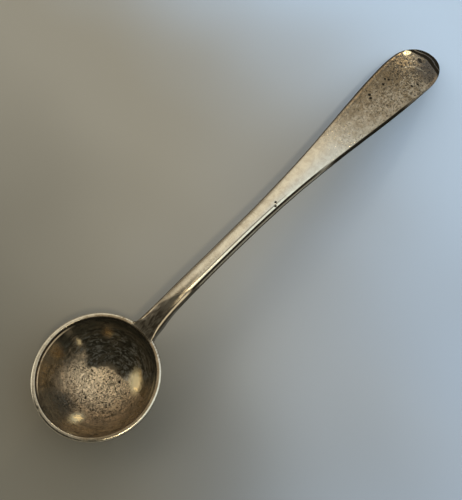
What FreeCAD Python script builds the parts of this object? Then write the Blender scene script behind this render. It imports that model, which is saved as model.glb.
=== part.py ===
import FreeCAD, Part
import math
import os

# A one-piece salt spoon, in millimetres. X runs from the bowl to the end of
# the handle, Z is up, and the spoon rests on the bottom of its bowl and on
# the turned-down end of its handle. The origin is under the middle of it.

# Whole spoon
LENGTH = 100.0

# Bowl, outside sizes, measured square to its own rim
BOWL_LENGTH = 22.3
BOWL_WIDTH = 21.5
BOWL_DEPTH = 10.1
RIM_TILT = 6.5
RIM_WIDTH = 0.85
BOTTOM_WALL = 0.75
RIM_BEVEL = 0.25

# Line along the top of the handle: heights above the table, distances from
# the bowl's edge or from the end, and slopes as rise over run
ROOT_RISE = 0.1
ROOT_SLOPE = 0.5
CREST_FROM_RIM = 11.0
CREST_HEIGHT = 10.8
SHOULDER_FROM_END = 13.1
SHOULDER_HEIGHT = 6.55
SHOULDER_SLOPE = -0.11
END_ANGLE = 36.5

# Handle widths
WAIST_WIDTH = 3.2
WAIST_FROM_RIM = 17.0
END_WIDTH = 9.55
WIDEST_FROM_END = 7.8
WIDENING_POWER = 1.48
FLARE_WIDTH = 1.2
FLARE_DEPTH = 1.1
FLARE_LENGTH = 3.0
END_FULLNESS = 2.1

# Handle section
ROOT_THICKNESS = 2.2
END_THICKNESS = 1.15
STEM_CROWN = 0.18
END_CROWN = 0.25
TOP_BEVEL = 0.45
END_TOP_BEVEL = 0.26
BOTTOM_BEVEL = 0.22
# A bevel takes at most this share of the half width
BEVEL_LIMIT = 0.6

# Heel: the drop on the back of the bowl, under the stem
HEEL_WIDTH = 4.4
HEEL_LENGTH = 6.0
HEEL_RISE = 0.4

# How far the handle's blank reaches into the bowl before it is trimmed
ROOT_OVERLAP = 1.6
# Handle sections, how much closer they lie at the root, and how far round the
# end the last one lies, in degrees
STEM_SECTIONS = 22
STEM_CROWDING = 1.1
END_SECTIONS = 10
LAST_SECTION = 84.0

# Anything thinner than this lies flat in a plane
FLAT = 1e-4

HALF_LENGTH = BOWL_LENGTH / 2
HALF_WIDTH = BOWL_WIDTH / 2
TILT = math.radians(RIM_TILT)

# Distances from the bowl's centre: how far it reaches forwards and down when
# it is tilted, where the stem leaves the rim, and where the handle ends
FRONT_REACH = math.hypot(HALF_LENGTH * math.cos(TILT), BOWL_DEPTH * math.sin(TILT))
CENTRE_HEIGHT = math.hypot(HALF_LENGTH * math.sin(TILT), BOWL_DEPTH * math.cos(TILT))
RIM_X = HALF_LENGTH * math.cos(TILT)
RIM_HEIGHT = CENTRE_HEIGHT - HALF_LENGTH * math.sin(TILT)
END_X = LENGTH - FRONT_REACH
END_SLOPE = -math.tan(math.radians(END_ANGLE))
END_HEIGHT = END_THICKNESS * math.cos(math.radians(END_ANGLE))
WAIST_X = RIM_X + WAIST_FROM_RIM
WIDEST_X = END_X - WIDEST_FROM_END
# The round end is drawn to close just past the last section, which is its flat tip
CLOSE_X = WIDEST_X + WIDEST_FROM_END / math.sin(math.radians(LAST_SECTION))

# Stations of the top line: distance, height, slope
TOP_LINE = [
    (RIM_X, RIM_HEIGHT + ROOT_RISE, ROOT_SLOPE),
    (RIM_X + CREST_FROM_RIM, CREST_HEIGHT, 0.0),
    (END_X - SHOULDER_FROM_END, SHOULDER_HEIGHT, SHOULDER_SLOPE),
    (END_X, END_HEIGHT, END_SLOPE),
]


def top_line(x):
    """Height and slope of the handle's top at a distance from the bowl's centre."""
    if x <= TOP_LINE[0][0]:
        start, height, slope = TOP_LINE[0]
        return height + slope * (x - start), slope
    for (x0, z0, s0), (x1, z1, s1) in zip(TOP_LINE, TOP_LINE[1:]):
        if x <= x1:
            break
    run = x1 - x0
    u = (x - x0) / run
    height = ((2 * u**3 - 3 * u**2 + 1) * z0 + (u**3 - 2 * u**2 + u) * run * s0
              + (3 * u**2 - 2 * u**3) * z1 + (u**3 - u**2) * run * s1)
    slope = ((6 * u**2 - 6 * u) * (z0 - z1) / run
             + (3 * u**2 - 4 * u + 1) * s0 + (3 * u**2 - 2 * u) * s1)
    return height, slope


def share(x, start, end):
    """How far x lies from start to end, from 0 to 1."""
    return min(max((x - start) / (end - start), 0.0), 1.0)


def mix(a, b, u):
    return a + (b - a) * u


def flare(x):
    """How much of the flare is left at x, from 1 at the rim to nothing."""
    return math.exp(-max(x - RIM_X, 0.0) / FLARE_LENGTH)


def handle_width(x):
    """Slim at the waist, flared into the bowl, wide and round at the end."""
    u = share(x, WAIST_X, WIDEST_X) ** WIDENING_POWER
    width = mix(WAIST_WIDTH, END_WIDTH, 3 * u**2 - 2 * u**3)
    width += FLARE_WIDTH * flare(x)
    round_end = share(x, WIDEST_X, CLOSE_X)
    return width * (1 - round_end**END_FULLNESS) ** (1 / END_FULLNESS)


def handle_section(x):
    """One closed wire across the handle: crowned top, bevelled edges, flat back."""
    along = share(x, RIM_X, END_X)
    half = handle_width(x) / 2
    thick = mix(ROOT_THICKNESS, END_THICKNESS, along) + FLARE_DEPTH * flare(x)
    fullness = min(2 * half / END_WIDTH, 1.0)
    crown = mix(STEM_CROWN, END_CROWN * fullness, along)
    bevel = min(mix(TOP_BEVEL, END_TOP_BEVEL, along), BEVEL_LIMIT * half)
    low = min(BOTTOM_BEVEL, BEVEL_LIMIT * half)
    height, slope = top_line(x)
    lean = math.atan(slope)

    def at(y, n):
        return FreeCAD.Vector(x - n * math.sin(lean), y, height + n * math.cos(lean))

    right = [(half - bevel, -crown), (half, -crown - bevel), (half, low - thick), (half - low, -thick)]
    left = [(-y, n) for y, n in reversed(right)]
    corners = [at(y, n) for y, n in right + left]
    edges = [Part.LineSegment(p, q).toShape() for p, q in zip(corners, corners[1:])]
    edges.append(Part.Arc(corners[-1], at(0, 0), corners[0]).toShape())
    return Part.Wire(edges)


def handle_blank():
    """The handle, lofted from inside the bowl to the tip of its round end."""
    start = RIM_X - ROOT_OVERLAP
    stem = [start, RIM_X]
    for i in range(STEM_SECTIONS):
        stem.append(mix(RIM_X, WIDEST_X, ((i + 1) / STEM_SECTIONS) ** STEM_CROWDING))
    angles = [math.radians(LAST_SECTION * (i + 1) / END_SECTIONS) for i in range(END_SECTIONS)]
    end = [mix(WIDEST_X, CLOSE_X, math.sin(a)) for a in angles]
    return Part.makeLoft([handle_section(x) for x in stem + end], True, False)


def egg(half_length, half_width, depth):
    """A whole egg shape with its centre at the middle of the rim."""
    ball = Part.makeSphere(1.0)
    ball.rotate(FreeCAD.Vector(), FreeCAD.Vector(0, 0, 1), 180)
    stretch = FreeCAD.Matrix()
    stretch.scale(half_length, half_width, depth)
    return ball.transformGeometry(stretch)


def below_rim():
    """The space under the plane of the rim, larger than the bowl."""
    side = 2 * LENGTH
    return Part.makeBox(side, side, side, FreeCAD.Vector(-side / 2, -side / 2, -side))


def hollow():
    return egg(HALF_LENGTH - RIM_WIDTH, HALF_WIDTH - RIM_WIDTH, BOWL_DEPTH - BOTTOM_WALL)


def rim_edges(shell, reach):
    """The edges in the rim's plane that reach this far along the bowl."""
    found = []
    for edge in shell.Edges:
        box = edge.BoundBox
        far = max(abs(vertex.Point.x) for vertex in edge.Vertexes)
        if box.ZLength < FLAT and abs(box.ZMax) < FLAT and abs(far - reach) < FLAT:
            found.append(edge)
    return found


def bowl():
    """The bowl's shell under a flat rim, with a bevel round the rim's outer edge."""
    shell = egg(HALF_LENGTH, HALF_WIDTH, BOWL_DEPTH).common(below_rim()).cut(hollow())
    return shell.makeChamfer(RIM_BEVEL, rim_edges(shell, HALF_LENGTH))


def heel():
    """A tongue with a round end that stands proud of the back of the bowl."""
    half = HEEL_WIDTH / 2
    top = -ROOT_THICKNESS / 2
    low = top - HEEL_LENGTH + half
    outline = Part.Wire([
        Part.LineSegment(FreeCAD.Vector(0, -half, top), FreeCAD.Vector(0, -half, low)).toShape(),
        Part.Arc(FreeCAD.Vector(0, -half, low), FreeCAD.Vector(0, 0, low - half),
                 FreeCAD.Vector(0, half, low)).toShape(),
        Part.LineSegment(FreeCAD.Vector(0, half, low), FreeCAD.Vector(0, half, top)).toShape(),
        Part.LineSegment(FreeCAD.Vector(0, half, top), FreeCAD.Vector(0, -half, top)).toShape(),
    ])
    tongue = Part.Face(outline).extrude(FreeCAD.Vector(BOWL_LENGTH, 0, 0))
    grown = egg(HALF_LENGTH + HEEL_RISE, HALF_WIDTH + HEEL_RISE, BOWL_DEPTH + HEEL_RISE)
    return grown.common(tongue)


def seated(shape):
    """Tilt a shape made about the rim's centre, and set it at the bowl's height."""
    placed = shape.copy()
    placed.rotate(FreeCAD.Vector(), FreeCAD.Vector(0, 1, 0), RIM_TILT)
    placed.translate(FreeCAD.Vector(0, 0, CENTRE_HEIGHT))
    return placed


def salt_spoon():
    """Bowl, handle and heel in one solid, with the origin under its middle."""
    behind = handle_blank().fuse(seated(heel())).cut(seated(hollow()))
    spoon = seated(bowl()).fuse(behind)
    spoon.translate(FreeCAD.Vector(FRONT_REACH - LENGTH / 2, 0, 0))
    return spoon.Solids[0]


os.makedirs("parts", exist_ok=True)
spoon = salt_spoon()
spoon.exportStep("parts/salt_spoon.step")
print("valid", spoon.isValid(), "volume", round(spoon.Volume, 2), spoon.BoundBox)
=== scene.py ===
import math

import bmesh
import bpy
import numpy as np
from bpy.props import FloatProperty, FloatVectorProperty, PointerProperty
from mathutils import Euler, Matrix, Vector


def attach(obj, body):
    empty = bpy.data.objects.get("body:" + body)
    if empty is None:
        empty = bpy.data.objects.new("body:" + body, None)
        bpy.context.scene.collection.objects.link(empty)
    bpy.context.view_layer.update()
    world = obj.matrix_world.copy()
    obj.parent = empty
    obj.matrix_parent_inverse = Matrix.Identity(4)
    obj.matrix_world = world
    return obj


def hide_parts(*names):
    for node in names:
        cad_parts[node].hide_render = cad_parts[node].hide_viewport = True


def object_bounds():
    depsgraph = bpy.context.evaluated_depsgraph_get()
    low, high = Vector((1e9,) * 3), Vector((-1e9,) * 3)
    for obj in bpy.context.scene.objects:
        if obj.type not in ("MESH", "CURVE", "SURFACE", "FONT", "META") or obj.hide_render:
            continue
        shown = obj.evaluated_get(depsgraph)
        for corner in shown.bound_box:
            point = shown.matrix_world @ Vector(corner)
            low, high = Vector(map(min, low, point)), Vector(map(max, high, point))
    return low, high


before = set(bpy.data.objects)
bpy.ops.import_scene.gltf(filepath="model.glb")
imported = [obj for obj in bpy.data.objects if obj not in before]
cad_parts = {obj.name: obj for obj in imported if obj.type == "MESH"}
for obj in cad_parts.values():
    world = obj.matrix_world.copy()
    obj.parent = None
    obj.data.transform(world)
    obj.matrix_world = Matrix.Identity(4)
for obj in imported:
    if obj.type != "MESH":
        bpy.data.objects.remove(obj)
CAD_LOW, CAD_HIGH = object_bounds()

bl_info = {
    "name": "Worn silver salt spoon",
    "version": (1, 0, 0),
    "blender": (4, 5, 0),
    "location": "3D View > Sidebar > Salt spoon",
    "description": "Dresses the salt spoon in worn, tarnished silver and sets it on a pale floor",
    "category": "Add Mesh",
}

MM = 0.001
SPOON_LENGTH = CAD_HIGH.x - CAD_LOW.x


def length(name, description, millimetres):
    """A length, given in millimetres and kept in metres."""
    return FloatProperty(name=name, description=description, default=millimetres * MM, unit="LENGTH")


def angle(name, description, degrees):
    """An angle, given in degrees and kept in radians."""
    return FloatProperty(name=name, description=description, default=math.radians(degrees), unit="ROTATION")


def number(name, description, default):
    """A plain number, such as a ratio."""
    return FloatProperty(name=name, description=description, default=default)


def tint(name, description, *colour, brightest=1.0):
    """A colour. A light's colour may be brighter than 1."""
    return FloatVectorProperty(name=name, description=description, default=colour, subtype="COLOR",
                               min=0, max=brightest)


class SpoonSizes(bpy.types.PropertyGroup):
    """The spoon's sizes: the solid's own, and what use has worn off it."""

    bowl_length: length("Bowl length", "Outside length of the rim", 22.3)
    bowl_width: length("Bowl width", "Outside width of the rim", 21.5)
    bowl_depth: length("Bowl depth", "Outside depth under the rim", 10.1)
    rim_tilt: angle("Rim tilt", "How far the front lip is tipped up", 6.5)
    rim_width: length("Rim width", "Thickness of the bowl at its rim", 0.85)
    bottom_wall: length("Bottom wall", "Thickness of the bowl at its bottom", 0.75)
    rim_outer_round: length("Outer rounding", "Radius that wear has given the rim's outer edge", 0.36)
    rim_inner_round: length("Inner rounding", "Radius of the rim's inner edge", 0.12)
    root_rise: length("Root rise", "Height of the stem over the rim where it starts", 0.1)
    root_slope: number("Root slope", "Rise over run of the stem where it starts", 0.5)
    crest_from_rim: length("Crest from rim", "Distance from the rim to the stem's highest point", 11.0)
    crest_height: length("Crest height", "Height of the stem's highest point", 10.8)
    shoulder_from_end: length("Shoulder from end", "Distance from the tip to where it turns down", 13.1)
    shoulder_height: length("Shoulder height", "Height of the handle where its end turns down", 6.55)
    shoulder_slope: number("Shoulder slope", "Rise over run where the end turns down", -0.11)
    end_angle: angle("End angle", "How steeply the tip points down", 36.5)
    waist_width: length("Waist width", "Width of the stem at its slimmest", 3.2)
    waist_from_rim: length("Waist from rim", "Distance from the rim to the slimmest place", 17.0)
    end_width: length("End width", "Width of the handle's end at its widest", 9.55)
    widest_from_end: length("Widest from end", "Distance from the tip to the widest place", 7.8)
    widening_power: number("Widening power", "How late the handle widens; 1 is even", 1.48)
    flare_width: length("Flare width", "Width that the stem gains at the rim", 1.2)
    flare_depth: length("Flare depth", "Depth that the stem gains at the rim", 1.1)
    flare_length: length("Flare length", "Distance over which the flare dies away", 3.0)
    end_fullness: number("End fullness", "How full the round end is; 2 is an ellipse", 2.1)
    root_thickness: length("Root thickness", "Thickness of the stem at the rim", 2.2)
    end_thickness: length("End thickness", "Thickness of the handle at its tip", 1.15)
    stem_crown: length("Stem crown", "Rise of the stem's top across its width", 0.32)
    end_crown: length("End crown", "Rise of the end's top across its width", 0.25)
    top_corner: length("Top corner", "Radius of the stem's upper edges", 0.6)
    end_top_corner: length("End top corner", "Radius of the end's upper edge", 0.35)
    bottom_corner: length("Bottom corner", "Radius of the lower edges", 0.3)
    heel_width: length("Heel width", "Width of the drop on the bowl's back", 4.4)
    heel_length: length("Heel length", "Length of the drop on the bowl's back", 6.0)
    heel_rise: length("Heel rise", "How proud the drop stands", 0.4)
    root_fillet_length: length("Root fillet", "Distance over which the stem's root runs into the rim", 2.2)
    dent_depth: length("Dent depth", "Depth of the shallow hollows that use has left", 0.035)
    dent_spacing: length("Dent spacing", "Distance from one shallow hollow to the next", 5.0)
    nick_depth: length("Nick depth", "Depth of the nick in the rim's outer edge", 0.07)


class SilverLook(bpy.types.PropertyGroup):
    """Colours of the silver, of what lies on it and of its painted highlights and shade, its gloss and its
    relief.
    """

    # Painted highlight: the pale colour of the bowl's glint patches and of the bright spot on the handle's
    # end
    bright: tint("Bright silver", "Small places that are rubbed bare", 1.0, 0.86, 0.52)
    rubbed: tint("Rubbed silver", "Where handling keeps the metal bright", 0.60, 0.545, 0.41)
    dull: tint("Dull silver", "The metal under a thin brown film", 0.33, 0.265, 0.170)
    brown: tint("Brown tarnish", "Where the film is thick", 0.15, 0.11, 0.060)
    # Olive is old tarnish, and also painted shade on the bowl's upper wall
    olive: tint("Olive tarnish", "Where the film is old and the bowl is in shadow", 0.044, 0.041, 0.027)
    # Sand is also the colour of the painted highlight lines under the rim and at the stem's root
    sand: tint("Sandy film", "On the ground that salt has roughened", 0.95, 0.76, 0.49)
    gold: tint("Golden film", "Round the sandy ground and along the handle's end", 0.58, 0.395, 0.207)
    # Umber also paints the shade on the bowl's outside below the rim
    umber: tint("Umber film", "Dark film at the tip of the handle", 0.045, 0.034, 0.021)
    haze: tint("Haze", "Grey bloom over the old film", 0.19, 0.185, 0.155)
    # Black also paints shade: the dark lines along the handle and under the rim, and the root's wedge
    black: tint("Black tarnish", "In pits and corners", 0.02, 0.017, 0.012)
    roughness: number("Roughness", "Roughness of the bare metal; 0 is a mirror", 0.18)
    pit_depth: length("Pit depth", "Depth of the pits and of the finer relief", 0.07)


class StageLook(bpy.types.PropertyGroup):
    """The floor, the light and the camera."""

    floor_near: tint("Floor, left", "Colour of the floor to the left", 0.361, 0.339, 0.276)
    # Painted light: the floor is bluer and paler to the right as painted daylight, and darker beyond the
    # bowl as painted shade
    floor_daylight_right: tint("Floor, right", "Colour of the floor to the right", 0.519, 0.711, 0.98)
    floor_shade_corner: tint("Floor, beyond the bowl", "Colour of the floor beyond the bowl", 0.196, 0.182, 0.138)
    floor_daylight_pool: tint("Floor, beyond the end", "Colour of the floor beyond the handle's end",
                       0.603, 0.778, 1.00)
    floor_size: length("Floor size", "Side of the square floor", 2000.0)
    walls: tint("Walls", "Colour of the light from all round", 0.62, 0.59, 0.54, brightest=2)
    ceiling: tint("Ceiling", "Colour of the light from overhead", 1.15, 1.09, 1.00, brightest=2)
    daylight: tint("Daylight", "Colour of the light beyond the handle's end", 0.95, 1.05, 1.22, brightest=2)
    window: tint("Window", "Colour of the light that casts the soft shadow", 1.4, 1.6, 1.75, brightest=3)
    far_window: tint("Far window", "Colour of the smaller light opposite", 1.9, 1.8, 1.65, brightest=2)
    dim_wall: tint("Dim wall", "Colour of the brown side", 0.22, 0.17, 0.12, brightest=2)
    shade: tint("Shade", "Colour of the unlit sides", 0.03, 0.03, 0.025, brightest=2)
    lamp_colour: tint("Lamp colour", "Colour of the lamps", 1.0, 0.86, 0.62)
    lamp_strength: number("Lamp strength", "Light that each lamp casts, in watts per square metre", 0.55)
    lamp_width: angle("Lamp width", "Angle that a lamp's disc fills", 6.0)
    camera_place: FloatVectorProperty(
        name="Camera place", description="Where the camera stands",
        default=(-27.85 * MM, -26.31 * MM, 136.43 * MM), subtype="TRANSLATION", unit="LENGTH")
    camera_turn: FloatVectorProperty(
        name="Camera turn", description="How the camera is turned",
        default=(math.radians(14.274), math.radians(1.748), math.radians(-45.463)), subtype="EULER")
    camera_lens: number("Lens", "Focal length in millimetres on a 36 mm sensor", 54.0)


# What years of polishing have taken off all over
POLISHED_AWAY = 0.002 * MM
# The nick in the rim: where it lies round the bowl, counted from the stem, and how far it reaches
NICK_ANGLE = math.radians(165)
NICK_REACH = 0.35 * MM
# The dents: how many waves make them up, their lengths as shares of the spacing, and how steeply
# their sum is squeezed
WAVE_COUNT = 9
WAVE_LENGTHS = (0.7, 1.6)
WAVE_SQUEEZE = 0.45
# Vertices closer than this are one
MERGE_DISTANCE = 1e-6


def share(x, start, end):
    """How far x lies from start to end, from 0 to 1."""
    return np.clip((x - start) / (end - start), 0.0, 1.0)


def smooth_share(x, start, end):
    """The same, easing in and out: 3u squared less 2u cubed."""
    u = share(x, start, end)
    return 3 * u**2 - 2 * u**3


def mix(a, b, u):
    """What lies a share u of the way from a to b."""
    return a + (b - a) * u


def unit(vectors):
    """The vectors' directions, at length 1."""
    return vectors / np.linalg.norm(vectors, axis=-1, keepdims=True)


def cubic(u, start, leave, stop, arrive):
    """The curve from start to stop that leaves with one slope and arrives with another."""
    return ((2 * u**3 - 3 * u**2 + 1) * start + (u**3 - 2 * u**2 + u) * leave
            + (3 * u**2 - 2 * u**3) * stop + (u**3 - u**2) * arrive)


class SpoonForm:
    """Places on the spoon that follow from its sizes. X is measured from the bowl's centre."""

    # A corner takes at most this share of the half width
    CORNER_LIMIT = 0.6

    def __init__(self, sizes):
        self.sizes = sizes
        self.half_length = sizes.bowl_length / 2
        self.half_width = sizes.bowl_width / 2
        tilt = sizes.rim_tilt
        self.front_reach = math.hypot(self.half_length * math.cos(tilt), sizes.bowl_depth * math.sin(tilt))
        self.centre_height = math.hypot(self.half_length * math.sin(tilt), sizes.bowl_depth * math.cos(tilt))
        self.rim_x = self.half_length * math.cos(tilt)
        self.rim_height = self.centre_height - self.half_length * math.sin(tilt)
        self.end_x = SPOON_LENGTH - self.front_reach
        self.waist_x = self.rim_x + sizes.waist_from_rim
        self.widest_x = self.end_x - sizes.widest_from_end
        self.shift = self.front_reach - SPOON_LENGTH / 2
        self.top_stations = [
            (self.rim_x, self.rim_height + sizes.root_rise, sizes.root_slope),
            (self.rim_x + sizes.crest_from_rim, sizes.crest_height, 0.0),
            (self.end_x - sizes.shoulder_from_end, sizes.shoulder_height, sizes.shoulder_slope),
            (self.end_x, sizes.end_thickness * math.cos(sizes.end_angle), -math.tan(sizes.end_angle)),
        ]

    def top_line(self, x):
        """Height and slope of the handle's top: cubic curves through the stations, with their slopes."""
        stations = np.array(self.top_stations)
        i = np.clip(np.searchsorted(stations[:, 0], x) - 1, 0, len(stations) - 2)
        x0, z0, s0 = np.moveaxis(stations[i], -1, 0)
        x1, z1, s1 = np.moveaxis(stations[i + 1], -1, 0)
        run = x1 - x0
        u = (x - x0) / run
        height = cubic(u, z0, run * s0, z1, run * s1)
        slope = ((6 * u**2 - 6 * u) * (z0 - z1) / run
                 + (3 * u**2 - 4 * u + 1) * s0 + (3 * u**2 - 2 * u) * s1)
        return height, slope

    def flare(self, x):
        """What is left of the flare, dying away as an exponential from the rim."""
        return np.exp(-np.maximum(x - self.rim_x, 0.0) / self.sizes.flare_length)

    def half_breadth(self, x):
        """Half the handle's width: slim at the waist, eased to the widest place, then a rounded end."""
        s = self.sizes
        u = share(x, self.waist_x, self.widest_x) ** s.widening_power
        width = mix(s.waist_width, s.end_width, 3 * u**2 - 2 * u**3) + s.flare_width * self.flare(x)
        round_end = share(x, self.widest_x, self.end_x)
        return width / 2 * (1 - round_end**s.end_fullness) ** (1 / s.end_fullness)

    def thickness(self, x):
        """Evenly from the root's thickness to the end's, with the flare's depth at the rim."""
        s = self.sizes
        return (mix(s.root_thickness, s.end_thickness, share(x, self.rim_x, self.end_x))
                + s.flare_depth * self.flare(x))

    def crown(self, x):
        """Evenly from the stem's crown to the end's."""
        return mix(self.sizes.stem_crown, self.sizes.end_crown, share(x, self.rim_x, self.end_x))

    def corner(self, x, half):
        """Radius of the upper corners: evenly from the stem's to the end's, within its limit."""
        s = self.sizes
        wanted = mix(s.top_corner, s.end_top_corner, share(x, self.rim_x, self.end_x))
        return np.minimum(wanted, self.CORNER_LIMIT * half)

    def place(self, x, y, drop):
        """A point on the handle that lies drop below its top line, square to that line."""
        height, slope = self.top_line(x)
        lean = np.arctan(slope)
        return np.stack([x + drop * np.sin(lean), y, height - drop * np.cos(lean)], axis=-1)

    def seat(self, points):
        """Tilts points made about the rim's centre, and lifts them to the bowl's height."""
        cos, sin = math.cos(self.sizes.rim_tilt), math.sin(self.sizes.rim_tilt)
        x, y, z = points[..., 0], points[..., 1], points[..., 2]
        return np.stack([x * cos + z * sin, y, z * cos - x * sin + self.centre_height], axis=-1)


class SpoonSkin:
    """The spoon's closed surface: a grid over the bowl and a tube along the handle, joined at the root."""

    # The hole that the stem starts from: half its width as an angle round the bowl, and how far it
    # goes down the bowl's outside
    ROOT_ANGLE = math.radians(13.4)
    ROOT_DROP = 3.6 * MM
    # Cells across the hole and round the rest of the bowl
    ROOT_CELLS = 36
    AROUND_CELLS = 240
    # Rows down the inside, round each edge of the rim, across its flat, and down the outside beside
    # the hole and below it. The poles' fans start at the last angle.
    INNER_ROWS = 72
    ROUND_ROWS = 4
    FLAT_ROWS = 4
    SIDE_WALL_ROWS = 12
    OUTER_ROWS = 50
    POLE_ANGLE = math.radians(88.6)
    # Cells round each corner of the handle and down each side, and rows along it
    CORNER_CELLS = 6
    SIDE_CELLS = 8
    FILLET_ROWS = 12
    STEM_ROWS = 240
    END_ROWS = 36
    # How far across the rim its rows count: 0 at the hollow, 0.3 and 0.7 at the flat's borders, 1 on
    # the worn outer edge, and 0 again below it
    RIM_SHARES = (0.0, 0.3, 0.7, 1.0, 0.0)
    # The heel's edge is soft from this far within its outline to this far beyond it
    HEEL_EDGE = (-0.2 * MM, 0.25 * MM)
    # Rounds by which the angle between the crowned top and its corners is found
    CROWN_ROUNDS = 4
    # How strongly the root's fillet follows the bowl where it leaves it, and how much of the way
    # round the bowl it takes there on the rim
    FILLET_PULL = 0.7
    FILLET_TURN = 0.4

    def __init__(self, form):
        self.form = form
        self.sizes = form.sizes
        self.points = []
        self.zones = []
        self.faces = []
        self.count = 0

    def keep(self, points, zones):
        """Adds vertices and returns their numbers, in the grid's own shape."""
        numbers = self.count + np.arange(points[..., 0].size).reshape(points.shape[:-1])
        self.points.append(points.reshape(-1, 3))
        self.zones.append(zones.reshape(-1, 4))
        self.count += numbers.size
        return numbers

    def sew(self, numbers, holes=None):
        """Faces between neighbouring rows and columns of vertex numbers, where the last column is next
        to the first."""
        right = np.roll(numbers, -1, axis=1)
        quads = np.stack([numbers[:-1], numbers[1:], right[1:], right[:-1]], axis=-1)
        if holes is not None:
            quads = quads[~holes]
        self.faces += quads.reshape(-1, 4).tolist()

    def fan(self, ring, pole, inward):
        """Triangles from a ring of vertices to a single one."""
        following = np.roll(ring, -1)
        hub = np.full_like(ring, pole)
        triangles = [hub, ring, following] if inward else [ring, hub, following]
        self.faces += np.stack(triangles, axis=-1).tolist()

    def columns(self):
        """Angles round the bowl, closer together where the stem starts."""
        root = np.linspace(-self.ROOT_ANGLE, self.ROOT_ANGLE, self.ROOT_CELLS + 1)
        rest = np.linspace(self.ROOT_ANGLE, 2 * math.pi - self.ROOT_ANGLE, self.AROUND_CELLS + 1)
        return np.concatenate([root, rest[1:-1]])

    @staticmethod
    def wall(around, down, half_length, half_width, depth):
        """A half egg: cosine of the drop angle times an ellipse, and its sine times the depth."""
        level = np.cos(down)[:, None]
        return np.stack([half_length * level * np.cos(around), half_width * level * np.sin(around),
                         -depth * np.sin(down)[:, None] * np.ones_like(around)], axis=-1)

    @staticmethod
    def edge(around, half_length, half_width):
        """An ellipse in the rim's plane, and its outward normal."""
        cos, sin, zero = np.cos(around), np.sin(around), np.zeros_like(around)
        ring = np.stack([half_length * cos, half_width * sin, zero], axis=-1)
        return ring, unit(np.stack([half_width * cos, half_length * sin, zero], axis=-1))

    @staticmethod
    def rounded(ring, away, radius, turn):
        """A quarter circle that takes an edge off: away from it by the radius times one less the sine
        of the turn, and down by the radius times one less its cosine."""
        down = np.array([0.0, 0.0, -1.0])
        return ring + away * radius * (1 - np.sin(turn)) + down * radius * (1 - np.cos(turn))

    def bowl_rows(self, around):
        """Rows from the inner bottom, over the rim, to the outer bottom: half eggs for the two walls,
        quarter circles at the rim's edges, and straight lines across its flat."""
        form, s = self.form, self.sizes
        inner = (form.half_length - s.rim_width, form.half_width - s.rim_width, s.bowl_depth - s.bottom_wall)
        outer = (form.half_length, form.half_width, s.bowl_depth)
        r_in, r_out = s.rim_inner_round, s.rim_outer_round
        inner_stop = math.asin(r_in / inner[2])
        inner_wall = self.wall(around, np.linspace(self.POLE_ANGLE, inner_stop, self.INNER_ROWS), *inner)
        inner_ring, inner_out = self.edge(around, inner[0], inner[1])
        outer_ring, outer_out = self.edge(around, outer[0], outer[1])
        turn = np.linspace(math.pi / 2, 0, self.ROUND_ROWS + 1)[1:, None, None]
        inner_round = self.rounded(inner_ring, inner_out, r_in, turn)
        turn = turn[::-1] + math.pi / 2 / self.ROUND_ROWS
        outer_round = self.rounded(outer_ring, -outer_out, r_out, turn)
        start, stop = inner_round[-1], outer_ring - outer_out * r_out
        across = np.linspace(0, 1, self.FLAT_ROWS + 1)[1:, None, None]
        flat = mix(start, stop, across)
        root_stop = math.asin(self.ROOT_DROP / s.bowl_depth)
        side = np.linspace(math.asin(r_out / s.bowl_depth), root_stop, self.SIDE_WALL_ROWS + 1)[1:]
        below = np.linspace(root_stop, self.POLE_ANGLE, self.OUTER_ROWS + 1)[1:]
        outer_wall = self.raise_heel(self.wall(around, np.concatenate([side, below]), *outer))
        return np.concatenate([inner_wall, inner_round, flat, outer_round, outer_wall])

    def raise_heel(self, points):
        """Lifts a tongue with a round end off the bowl's back, by the heel's rise times a soft mask."""
        s = self.sizes
        half = s.heel_width / 2
        low = -s.root_thickness / 2 - s.heel_length + half
        x, y, z = points[..., 0], points[..., 1], points[..., 2]
        beyond = np.where(z > low, np.abs(y), np.hypot(y, z - low)) - half
        mask = (1 - smooth_share(beyond, *self.HEEL_EDGE)) * (x > 0)
        radii = np.array([self.form.half_length, self.form.half_width, s.bowl_depth])
        outward = unit(points / radii**2)
        return points + outward * (s.heel_rise * mask)[..., None]

    def bowl_zones(self, rows, columns):
        """Per vertex: how much it is on the inside, how far across the rim it lies, and two values
        that matter on the handle alone."""
        zones = np.zeros((rows, columns, 4))
        flat_start = self.INNER_ROWS + self.ROUND_ROWS
        flat_stop = flat_start + self.FLAT_ROWS
        row = np.arange(rows)
        inside = 1 - share(row, self.INNER_ROWS - 1, flat_start - 1)
        on_rim = np.interp(row, [self.INNER_ROWS - 1, flat_start - 1, flat_stop - 1,
                                 flat_stop + self.ROUND_ROWS - 2, flat_stop + self.ROUND_ROWS + 2],
                           self.RIM_SHARES)
        zones[..., 0] = inside[:, None]
        zones[..., 1] = on_rim[:, None]
        zones[..., 3] = self.form.half_width
        return zones

    def add_bowl(self):
        """The bowl's grid, its two poles, and the hole where the handle's tube is sewn on."""
        around = self.columns()
        rows = self.form.seat(self.bowl_rows(around))
        numbers = self.keep(rows, self.bowl_zones(len(rows), len(around)))
        first = self.INNER_ROWS + self.ROUND_ROWS - 1
        last = first + self.FLAT_ROWS + self.ROUND_ROWS + self.SIDE_WALL_ROWS
        holes = np.zeros((len(rows) - 1, len(around)), bool)
        holes[first:last, :self.ROOT_CELLS] = True
        self.sew(numbers, holes)
        s = self.sizes
        poles = np.array([[0, 0, s.bottom_wall - s.bowl_depth], [0, 0, -s.bowl_depth]])
        pole_zones = np.array([[1.0, 0, 0, s.bowl_width], [0, 0, 0, s.bowl_width]])
        inner_pole, outer_pole = self.keep(self.form.seat(poles), pole_zones)
        self.fan(numbers[0], inner_pole, inward=True)
        self.fan(numbers[-1], outer_pole, inward=False)
        return rows, numbers, first, last

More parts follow.
